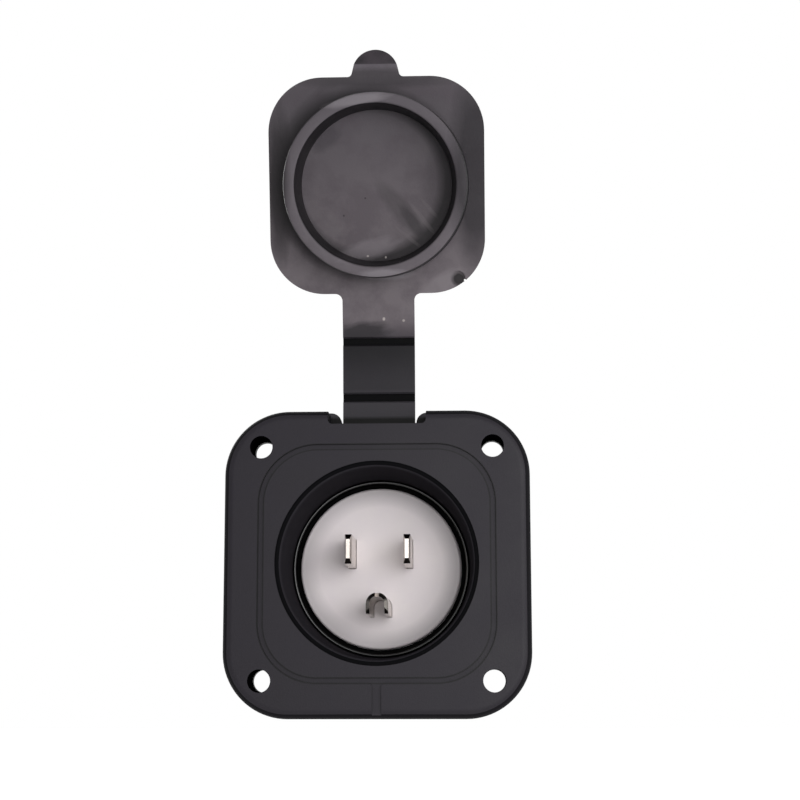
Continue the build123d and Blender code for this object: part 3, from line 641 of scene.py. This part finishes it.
finishes = {
    "flange_housing": satin_nylon,
    "wall_gasket": strap_elastomer,
    "strap_link": strap_elastomer,
    "cap_lid": cap_elastomer,
    "contact_carrier": white_urea,
    "line_blade": nickel_plate,
    "neutral_blade": nickel_plate,
    "ground_pin": nickel_plate,
    "terminal_block": phenolic,
    "clamp_plates": plain_brass,
    "terminal_screws": plain_brass,
    "carrier_screws": zinc_steel,
    "rear_cover": shell_nylon,
    "cover_seal": seal_rubber,
    "cover_inserts": plain_brass,
    "gland_bush": seal_rubber,
    "gland_washer": shell_nylon,
    "gland_nut": shell_nylon,
}
surfaces = {node: smooth_copy(node, finish) for node, finish in finishes.items()}
print("smooth copies", len(surfaces),
      "triangles", sum(len(p.data.polygons) for p in surfaces.values()))

# %% [markdown]
# Now the faces of the housing choose their nylon, by where they lie and which way they look:
# the wall of the cup, with painted light, and the sides of the flange, the lip round the cup's
# mouth and the walls of the screw holes, with painted shade. The flat front of the ground
# pin's crown gets the grey plate.

# %% Faces with another finish
cad_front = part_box("flange_housing")[0].y
HOLE_PITCH = 50.0 * MM
HOLE_REACH = 2.7 * MM
CUP_REACH = 21.0 * MM
LIP_REACH = 22.0 * MM
LIP_DEPTH = 1.5 * MM
FLANGE_DEPTH = 12.5 * MM
SIDE_TURN = -0.85
CROWN_HALF = 1.0 * MM
CROWN_TURN = -0.9


def second_finish(piece, material, chosen):
    """Give the faces that a test picks another material."""
    piece.data.materials.append(material)
    for face in piece.data.polygons:
        if chosen(face.center, face.normal):
            face.material_index = len(piece.data.materials) - 1


def in_cup(centre, _):
    """Whether a face of the housing lies on the cup's wall or its floor."""
    return math.hypot(centre.x, centre.z) < CUP_REACH


def on_side(centre, normal):
    """Whether a face of the housing's front part looks sideways, outside the cup."""
    return (normal.y > SIDE_TURN and centre.y < cad_front + FLANGE_DEPTH
            and math.hypot(centre.x, centre.z) > LIP_REACH)


def on_lip(centre, _):
    """Whether a face of the housing lies on the stepped lip round the cup's mouth."""
    return (CUP_REACH < math.hypot(centre.x, centre.z) < LIP_REACH
            and centre.y < cad_front + LIP_DEPTH)


def in_hole(centre, _):
    """Whether a face of the housing lies on the wall of a screw hole."""
    return math.hypot(abs(centre.x) - HOLE_PITCH / 2,
                      abs(centre.z) - HOLE_PITCH / 2) < HOLE_REACH


def on_crown(centre, normal):
    """Whether a face of the ground pin is the flat front of its crown."""
    return abs(centre.x) < CROWN_HALF and normal.y < CROWN_TURN


for material, chosen in ((cup_nylon_painted_light, in_cup), (skirt_nylon_painted_shade, on_side),
                         (lip_nylon_painted_shade, on_lip), (hole_nylon_painted_shade, in_hole)):
    second_finish(surfaces["flange_housing"], material, chosen)
second_finish(surfaces["ground_pin"], grey_nickel, on_crown)
print("finishes on the housing", len(surfaces["flange_housing"].data.materials))

# %% [markdown]
# A living hinge is a strip moulded thin so that it bends. In the model the thin web is cut
# at its middle, so that each half can turn with its own side. The eye should see one skin, so
# a strip a little thicker than the web lies over both halves, with enough rows across to
# curve. The strip leans halfway between its two sides.

# %% Living hinges
HINGE_SKIN = 0.66 * MM
ROOT_FLARE = 0.5
SKIN_ROWS = 14
SKIN_COLUMNS = 8
SKIN_EDGE_DEG = 40


def hinge_skin(name, joint, body_a, body_b, half_gap, lean_deg):
    """A strip over one living hinge."""
    low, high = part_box("strap_link")
    centre = Vector(joints[joint]["pos_m"])
    half_width = (high.x - low.x) / 2
    along = Vector((0, -math.sin(math.radians(lean_deg)), math.cos(math.radians(lean_deg))))
    across = Vector((0, along.z, -along.y))
    work = bmesh.new()
    rings = []
    for row in range(SKIN_ROWS + 1):
        step = (2 * row / SKIN_ROWS - 1) * half_gap
        waist = HINGE_SKIN / 2 * (1 + ROOT_FLARE * (step / half_gap) ** 4)
        rings.append([work.verts.new(centre + along * step + across * waist * side + Vector(
            ((2 * column / SKIN_COLUMNS - 1) * half_width * -side, 0, 0)))
            for side in (-1, 1) for column in range(SKIN_COLUMNS + 1)])
    count = len(rings[0])
    for low_ring, high_ring in zip(rings, rings[1:]):
        for i in range(count):
            j = (i + 1) % count
            work.faces.new((low_ring[i], low_ring[j], high_ring[j], high_ring[i]))
    work.faces.new(rings[0][::-1])
    work.faces.new(rings[-1])
    bmesh.ops.recalc_face_normals(work, faces=work.faces)
    mesh = bpy.data.meshes.new(name)
    work.to_mesh(mesh)
    work.free()
    shade_smooth(mesh, SKIN_EDGE_DEG)
    piece = new_piece(name, mesh, groove_elastomer_painted_shade)
    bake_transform(piece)
    return piece


HINGES = (
    # piece, joint, body below, body above, half of the gap between them, lean in degrees
    ("strap_hinge_skin", "strap_hinge", "inlet", "strap", 0.9 * MM, 2.5),
    ("cap_hinge_skin", "cap_hinge", "strap", "cap", 0.8 * MM, 10.0))
skins = [hinge_skin(*hinge) for hinge in HINGES]
print("hinge skins", [skin.name for skin in skins])

# %% [markdown]
# A turned shape is a profile of radius and depth, spun about the cup's axis. Two pieces need
# it: the rubber ring in the cup and the screws of the rear cover. A point of the profile
# that lies on the axis is one corner, not a ring, so the end of a screw closes cleanly.

# %% Turned shapes
def turned_profile(name, profile, steps):
    """Turn (radius, y) points in metres about the Y axis into a closed mesh."""
    work = bmesh.new()
    rings = []
    for radius, y in profile:
        if radius == 0:
            rings.append([work.verts.new((0, y, 0))])
            continue
        rings.append([work.verts.new((radius * math.cos(2 * math.pi * i / steps), y,
                                      radius * math.sin(2 * math.pi * i / steps)))
                      for i in range(steps)])
    for first, second in zip(rings, rings[1:]):
        for i in range(steps):
            j = (i + 1) % steps
            corners = [first[i % len(first)], first[j % len(first)],
                       second[j % len(second)], second[i % len(second)]]
            unique = list(dict.fromkeys(corners))
            if len(unique) > 2:
                work.faces.new(unique)
    bmesh.ops.recalc_face_normals(work, faces=work.faces)
    mesh = bpy.data.meshes.new(name)
    work.to_mesh(mesh)
    work.free()
    return mesh


def arc(radius, y, reach, start_deg, end_deg, steps):
    """Points on a round corner of a profile, given by its centre, radius and angles."""
    turns = [math.radians(start_deg + (end_deg - start_deg) * i / steps)
             for i in range(steps + 1)]
    return [(radius + reach * math.cos(a), y - reach * math.sin(a)) for a in turns]


print("points on a half circle", len(arc(0.0, 0.0, 1.0, 180, 0, 14)))

# %% [markdown]
# The rubber ring at the base of the cup has a soft round lip that shows as one thin bright
# line. The imported solid has the same ring with a flat crest. A finer profile lets the light
# run along the crest. Its radius and its depth are read from the solid's box. The groove
# inside the lip is dull and darker: painted shade.

# %% The cup's seal
seal_low, seal_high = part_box("cup_seal_ring")
LIP_R = 0.4 * MM
# The foot of the lip, on its inner side, is as dull and dark as the groove: painted shade.
CREST_WIDTH = 1.9 * LIP_R
SEAL_FLOOR_DROP = 3.0 * MM
SEAL_WIDTH = 1.7 * MM
SEAL_STEPS = 160
outer_r = seal_high.x
inner_r = outer_r - SEAL_WIDTH
floor_y = seal_low.y + SEAL_FLOOR_DROP
profile = [(inner_r, seal_high.y), (inner_r, floor_y), (outer_r - 2 * LIP_R, floor_y)]
profile += arc(outer_r - LIP_R, seal_low.y + LIP_R, LIP_R, 180, 0, 14)
profile += [(outer_r, seal_high.y), (inner_r, seal_high.y)]
seal = new_piece("cup_seal_lip", turned_profile("cup_seal_lip", profile, SEAL_STEPS),
                 seal_rubber)
shade_smooth(seal.data, SKIN_EDGE_DEG)
# The groove's floor and the lip's inner foot get the dull, darker rubber: painted shade.
second_finish(seal, dull_shaded_rubber, lambda centre, _: math.hypot(centre.x, centre.z)
              < outer_r - CREST_WIDTH)
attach(seal, "inlet")
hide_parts("cup_seal_ring")
print("seal radii", round(inner_r / MM, 2), round(outer_r / MM, 2))

# %% [markdown]
# The screws of the rear cover are pan heads with a cross slot. One is turned from its
# profile, and two crossed blocks are cut out of its head. Its head and its length come from
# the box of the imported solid.

# %% One cover screw
screw_low, screw_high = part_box("cover_screws")
HEAD_R = (screw_high.z - screw_low.z) / 2
HEAD_HEIGHT = 2.0 * MM
SHANK_R = 1.5 * MM
SHANK_LENGTH = (screw_high.y - screw_low.y) - HEAD_HEIGHT
POINT_LENGTH = 0.6 * MM
POINT_R = 0.7 * SHANK_R
# Shares of the head: its straight side, then the block that cuts one arm of the slot.
HEAD_SIDE = 0.35
SLOT_SPAN = 1.3
SLOT_DEPTH = 1.1
SLOT_WIDTH = 0.3
SCREW_STEPS = 40


def cover_screw_piece():
    """A pan-head screw along Y with a cross slot sunk into its head."""
    crown = [(HEAD_R * math.sin(a), HEAD_HEIGHT * (HEAD_SIDE + (1 - HEAD_SIDE) * math.cos(a)))
             for a in [math.radians(d) for d in (90, 72, 54, 36, 18)]]
    profile = [(0, -SHANK_LENGTH), (POINT_R, -SHANK_LENGTH),
               (SHANK_R, -SHANK_LENGTH + POINT_LENGTH), (SHANK_R, 0), (HEAD_R, 0),
               *crown, (0, HEAD_HEIGHT)]
    screw = new_piece("screw_master", turned_profile("screw_master", profile, SCREW_STEPS),
                      zinc_steel)
    for turn in (0, 90):
        arm = bmesh.new()
        bmesh.ops.create_cube(arm, size=1.0)
        arm.transform(Matrix.Translation((0, HEAD_HEIGHT, 0))
                      @ Matrix.Rotation(math.radians(turn), 4, "Y")
                      @ Matrix.Diagonal((HEAD_R * SLOT_SPAN, HEAD_HEIGHT * SLOT_DEPTH,
                                         HEAD_R * SLOT_WIDTH, 1)))
        cutter_mesh = bpy.data.meshes.new("slot_arm")
        arm.to_mesh(cutter_mesh)
        arm.free()
        cutter = new_piece("slot_arm", cutter_mesh, zinc_steel)
        cut = screw.modifiers.new("slot", "BOOLEAN")
        cut.operation = "DIFFERENCE"
        cut.object = cutter
        plain_mesh(screw)
        bpy.data.objects.remove(cutter)
    return screw


master_screw = cover_screw_piece()
print("screw vertices", len(master_screw.data.vertices))

# %% [markdown]
# Two equal screws are a repeat, so Geometry Nodes place them: the tree takes one modelled
# screw and sets it on the two points of a line, whose half length and depth are its inputs.
# It ends in real geometry, because instances would be lost when the model is exported.

# %% The pair of cover screws
def screws_on_line(master):
    """Geometry Nodes: the master screw on both ends of a line along X."""
    tree = bpy.data.node_groups.new("screws_on_line", "GeometryNodeTree")
    tree.interface.new_socket("Geometry", in_out="INPUT", socket_type="NodeSocketGeometry")
    half, depth = [tree.interface.new_socket(label, in_out="INPUT",
                                             socket_type="NodeSocketFloat").identifier
                   for label in ("Half length", "Depth")]
    tree.interface.new_socket("Geometry", in_out="OUTPUT", socket_type="NodeSocketGeometry")
    group_in = add_node(tree, "NodeGroupInput")
    back = add_node(tree, "ShaderNodeMath", {0: group_in.outputs["Half length"], 1: -1.0},
                    operation="MULTIPLY")
    start = add_node(tree, "ShaderNodeCombineXYZ", {
        "X": back.outputs[0], "Y": group_in.outputs["Depth"]})
    end = add_node(tree, "ShaderNodeCombineXYZ", {
        "X": group_in.outputs["Half length"], "Y": group_in.outputs["Depth"]})
    line = add_node(tree, "GeometryNodeMeshLine", {
        "Count": 2, "Start Location": start.outputs[0], "Offset": end.outputs[0]},
        mode="END_POINTS")
    screw = add_node(tree, "GeometryNodeObjectInfo", {"Object": master})
    placed = add_node(tree, "GeometryNodeInstanceOnPoints", {
        "Points": line.outputs["Mesh"], "Instance": screw.outputs["Geometry"]})
    real = add_node(tree, "GeometryNodeRealizeInstances", {"Geometry": placed.outputs[0]})
    metal = add_node(tree, "GeometryNodeSetMaterial", {
        "Geometry": real.outputs[0], "Material": zinc_steel})
    add_node(tree, "NodeGroupOutput", {"Geometry": metal.outputs[0]})
    return tree, half, depth


screw_tree, half_id, depth_id = screws_on_line(master_screw)
cover_screws = new_piece("cover_screw_pair", bpy.data.meshes.new("cover_screw_pair"),
                         zinc_steel)
placing = cover_screws.modifiers.new("place", "NODES")
placing.node_group = screw_tree
placing[half_id] = screw_high.x - HEAD_R
placing[depth_id] = screw_high.y - HEAD_HEIGHT
plain_mesh(cover_screws)
dress(cover_screws, zinc_steel)
bpy.data.objects.remove(master_screw)
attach(cover_screws, "inlet")
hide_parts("cover_screws")
print("screw pair vertices", len(cover_screws.data.vertices))

# %% [markdown]
# The gland's nut runs on a thread cut on the boss of the rear cover. A thread is a ridge that
# follows a helix, so it is a curve with a section: a spiral curve at the boss's radius,
# swept with a small diamond. Pitch, radius and turns are inputs of the tree. The ridge
# sinks a little into the boss, so no gap shows under it.

# %% Thread of the gland
def thread_tree():
    """Geometry Nodes: a ridge with a diamond section along a helix."""
    tree = bpy.data.node_groups.new("thread_ridge", "GeometryNodeTree")
    tree.interface.new_socket("Geometry", in_out="INPUT", socket_type="NodeSocketGeometry")
    names = {label: tree.interface.new_socket(label, in_out="INPUT",
                                              socket_type="NodeSocketFloat").identifier
             for label in ("Radius", "Pitch", "Turns", "Ridge")}
    tree.interface.new_socket("Geometry", in_out="OUTPUT", socket_type="NodeSocketGeometry")
    group_in = add_node(tree, "NodeGroupInput")
    height = add_node(tree, "ShaderNodeMath", {
        0: group_in.outputs["Pitch"], 1: group_in.outputs["Turns"]}, operation="MULTIPLY")
    helix = add_node(tree, "GeometryNodeCurveSpiral", {
        "Resolution": 48, "Rotations": group_in.outputs["Turns"],
        "Start Radius": group_in.outputs["Radius"], "End Radius": group_in.outputs["Radius"],
        "Height": height.outputs[0]})
    section = add_node(tree, "GeometryNodeCurvePrimitiveCircle", {
        "Resolution": 4, "Radius": group_in.outputs["Ridge"]})
    ridge = add_node(tree, "GeometryNodeCurveToMesh", {
        "Curve": helix.outputs[0], "Profile Curve": section.outputs[0], "Fill Caps": True})
    turned = add_node(tree, "GeometryNodeTransform", {
        "Geometry": ridge.outputs[0], "Rotation": (math.radians(-90), 0.0, 0.0)})
    real = add_node(tree, "GeometryNodeRealizeInstances", {"Geometry": turned.outputs[0]})
    dressed = add_node(tree, "GeometryNodeSetMaterial", {
        "Geometry": real.outputs[0], "Material": shell_nylon})
    add_node(tree, "NodeGroupOutput", {"Geometry": dressed.outputs[0]})
    return tree, names


BOSS_RADIUS = 10.0 * MM
BOSS_LENGTH = 12.0 * MM
THREAD_PITCH = 1.5 * MM
THREAD_RELIEF = 1.2 * MM
RUN_OUT_TURNS = 0.2
RIDGE_SINK = 0.1 * MM
RIDGE = 0.45 * MM
thread_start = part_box("rear_cover")[1].y - BOSS_LENGTH + THREAD_RELIEF
thread_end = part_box("gland_nut")[0].y
tree, sockets = thread_tree()
thread = new_piece("gland_thread", bpy.data.meshes.new("gland_thread"), shell_nylon)
sweep = thread.modifiers.new("sweep", "NODES")
sweep.node_group = tree
sweep[sockets["Radius"]] = BOSS_RADIUS - RIDGE_SINK
sweep[sockets["Pitch"]] = THREAD_PITCH
sweep[sockets["Turns"]] = (thread_end - thread_start) / THREAD_PITCH - RUN_OUT_TURNS
sweep[sockets["Ridge"]] = RIDGE
plain_mesh(thread)
thread.data.transform(Matrix.Translation((0, thread_start, 0)))
dress(thread, shell_nylon)
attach(thread, "inlet")
print("thread length", round((thread_end - thread_start) / MM, 2), "mm")

# %% [markdown]
# The camera stands where the photographer's did: about 40 cm in front of the flange, a
# little to the right and below it, looking slightly up. Its place and its three angles were
# found by matching the blades, the cup, the four holes and the cap. A long lens keeps the
# perspective as flat as the photograph's.

# %% Camera
FOCAL_PIXELS = 1759.0
IMAGE_PIXELS = 800
SENSOR_MM = 36.0
CAMERA_PLACE = Vector((20.56, -387.57, -27.75)) * MM
YAW, PITCH, ROLL = (math.radians(a) for a in (-2.36, 9.49, -0.09))
forward = Vector((math.sin(YAW) * math.cos(PITCH), math.cos(YAW) * math.cos(PITCH),
                  math.sin(PITCH)))
level = Vector((math.cos(YAW), -math.sin(YAW), 0))
upward = level.cross(forward)
right = math.cos(ROLL) * level + math.sin(ROLL) * upward
top = -math.sin(ROLL) * level + math.cos(ROLL) * upward
camera_data = bpy.data.cameras.new("photo_camera")
camera_data.sensor_width = SENSOR_MM
camera_data.lens = SENSOR_MM * FOCAL_PIXELS / IMAGE_PIXELS
camera_data.clip_start = 0.01
camera = bpy.data.objects.new("photo_camera", camera_data)
camera.matrix_world = (Matrix.Translation(CAMERA_PLACE)
                       @ Matrix((right, top, -forward)).transposed().to_4x4())
bpy.context.scene.collection.objects.link(camera)
bpy.context.scene.camera = camera
print("lens", round(camera_data.lens, 1), "mm")

# %% [markdown]
# Light: a large soft box stands in front and a little to the right, close to the lens, so the
# bottom of the cup isn't dark. A weaker one stands far to the right, brightens the right of
# the flange and gives the blades their shadows. A third lights the side that goes into the
# wall, for views from behind.

# %% Lamps
LAMPS = (
    # name, place, target, size in millimetres, power in watts
    ("front_soft_box", (125, -420, 40), (0, -5, 30), 240, 0.82),
    ("right_soft_box", (270, -260, 70), (0, -5, 30), 170, 0.36),
    ("rear_soft_box", (-250, 430, 260), (0, 20, 20), 300, 1.2))


def soft_box(name, place, target, size, power):
    """A square area light aimed at a point, in millimetres."""
    data = bpy.data.lights.new(name, "AREA")
    data.size = size * MM
    data.energy = power
    lamp = bpy.data.objects.new(name, data)
    lamp.location = Vector(place) * MM
    lamp.rotation_euler = (Vector(target) - Vector(place)).to_track_quat("-Z", "Y").to_euler()
    bpy.context.scene.collection.objects.link(lamp)


for lamp in LAMPS:
    soft_box(*lamp)
print("lamps", [lamp[0] for lamp in LAMPS])

# %% [markdown]
# The floor and the world look plain white to the camera and in reflections, but light the
# object only at an ordinary level, so pale parts don't clip. A switch on the kind of ray
# does that. The floor keeps the shadow of the object.

# %% World and floor
def seen_white(tree, strength):
    """1 for camera, glossy and transmission rays, else the given strength."""
    path = add_node(tree, "ShaderNodeLightPath")
    first = add_node(tree, "ShaderNodeMath", {
        0: path.outputs["Is Camera Ray"], 1: path.outputs["Is Glossy Ray"]},
        operation="MAXIMUM")
    direct = add_node(tree, "ShaderNodeMath", {
        0: first.outputs[0], 1: path.outputs["Is Transmission Ray"]}, operation="MAXIMUM")
    return add_node(tree, "ShaderNodeMapRange", {
        "Value": direct.outputs[0], "To Min": strength, "To Max": 1.0}).outputs["Result"]


WORLD_LIGHT = 0.3
FLOOR_GLOW = 0.85
FLOOR_DROP = 60 * MM
FLOOR_HALF = 3.0
WHITE = (1.0, 1.0, 1.0, 1.0)
world = bpy.data.worlds.new("white_studio")
bpy.context.scene.world = world
world.use_nodes = True
world.node_tree.nodes.clear()
sky = add_node(world.node_tree, "ShaderNodeBackground", {
    "Color": WHITE, "Strength": seen_white(world.node_tree, WORLD_LIGHT)})
add_node(world.node_tree, "ShaderNodeOutputWorld", {"Surface": sky.outputs[0]})
floor_mesh = bpy.data.meshes.new("floor")
floor_z = cad_box[0][2] - FLOOR_DROP
floor_mesh.from_pydata([(x * FLOOR_HALF, y * FLOOR_HALF, floor_z) for x, y in (
    (-1, -1), (1, -1), (1, 1), (-1, 1))], [], [(0, 1, 2, 3)])
# Matt white floor paint, with a glow that only the camera and reflections see.
floor_paint, floor_tree, _ = new_material("white_floor_paint")
matt = add_node(floor_tree, "ShaderNodeBsdfPrincipled", {
    "Base Color": linear("#e8e8e8"), "Roughness": 0.9})
shown = add_node(floor_tree, "ShaderNodeMath", {0: seen_white(floor_tree, 0.0), 1: FLOOR_GLOW},
                 operation="MULTIPLY")
glow = add_node(floor_tree, "ShaderNodeEmission", {
    "Color": WHITE, "Strength": shown.outputs[0]})
close_material(floor_tree, add_node(floor_tree, "ShaderNodeAddShader", {
    0: matt.outputs[0], 1: glow.outputs[0]}))
floor = new_piece("floor", floor_mesh, floor_paint)
bpy.context.scene.view_settings.view_transform = "Standard"
print("floor at", round(floor_z / MM, 1), "mm")
